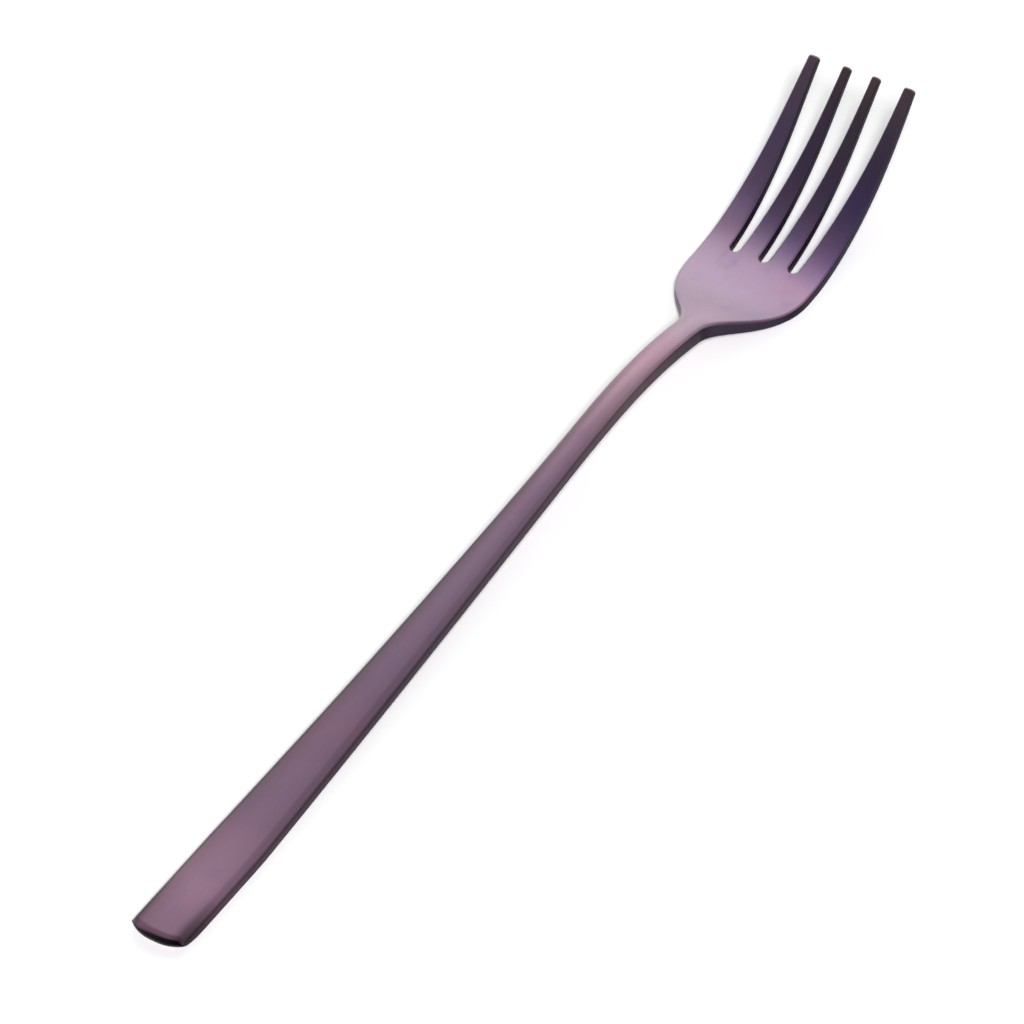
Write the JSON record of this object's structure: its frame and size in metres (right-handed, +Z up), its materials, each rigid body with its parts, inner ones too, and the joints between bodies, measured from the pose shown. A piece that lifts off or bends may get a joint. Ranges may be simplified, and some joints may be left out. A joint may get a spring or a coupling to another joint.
{
  "type": "table fork",
  "caption": "Slim table fork in satin mauve steel: a long tapering handle, a narrow arched neck and a rounded palm with curved tapering tines, for picking up and holding food.",
  "frame": {"origin": "on the table, under the middle of the fork's length and width, with the fork lying on its back", "axes": "+X along the fork from the handle's end to the tine tips, +Y to the left of someone holding the handle, +Z up out of the hollow side"},
  "size_m": [0.2084, 0.0242, 0.0186],
  "materials": {
    "coated_steel": "satin, thin mauve vapour-deposited coat on stainless steel"
  },
  "bodies": {
    "root": {"handle": "coated_steel", "neck": "coated_steel", "palm": "coated_steel", "tine_right_outer": "coated_steel", "tine_right_inner": "coated_steel", "tine_left_inner": "coated_steel", "tine_left_outer": "coated_steel"}
  },
  "joints": []
}
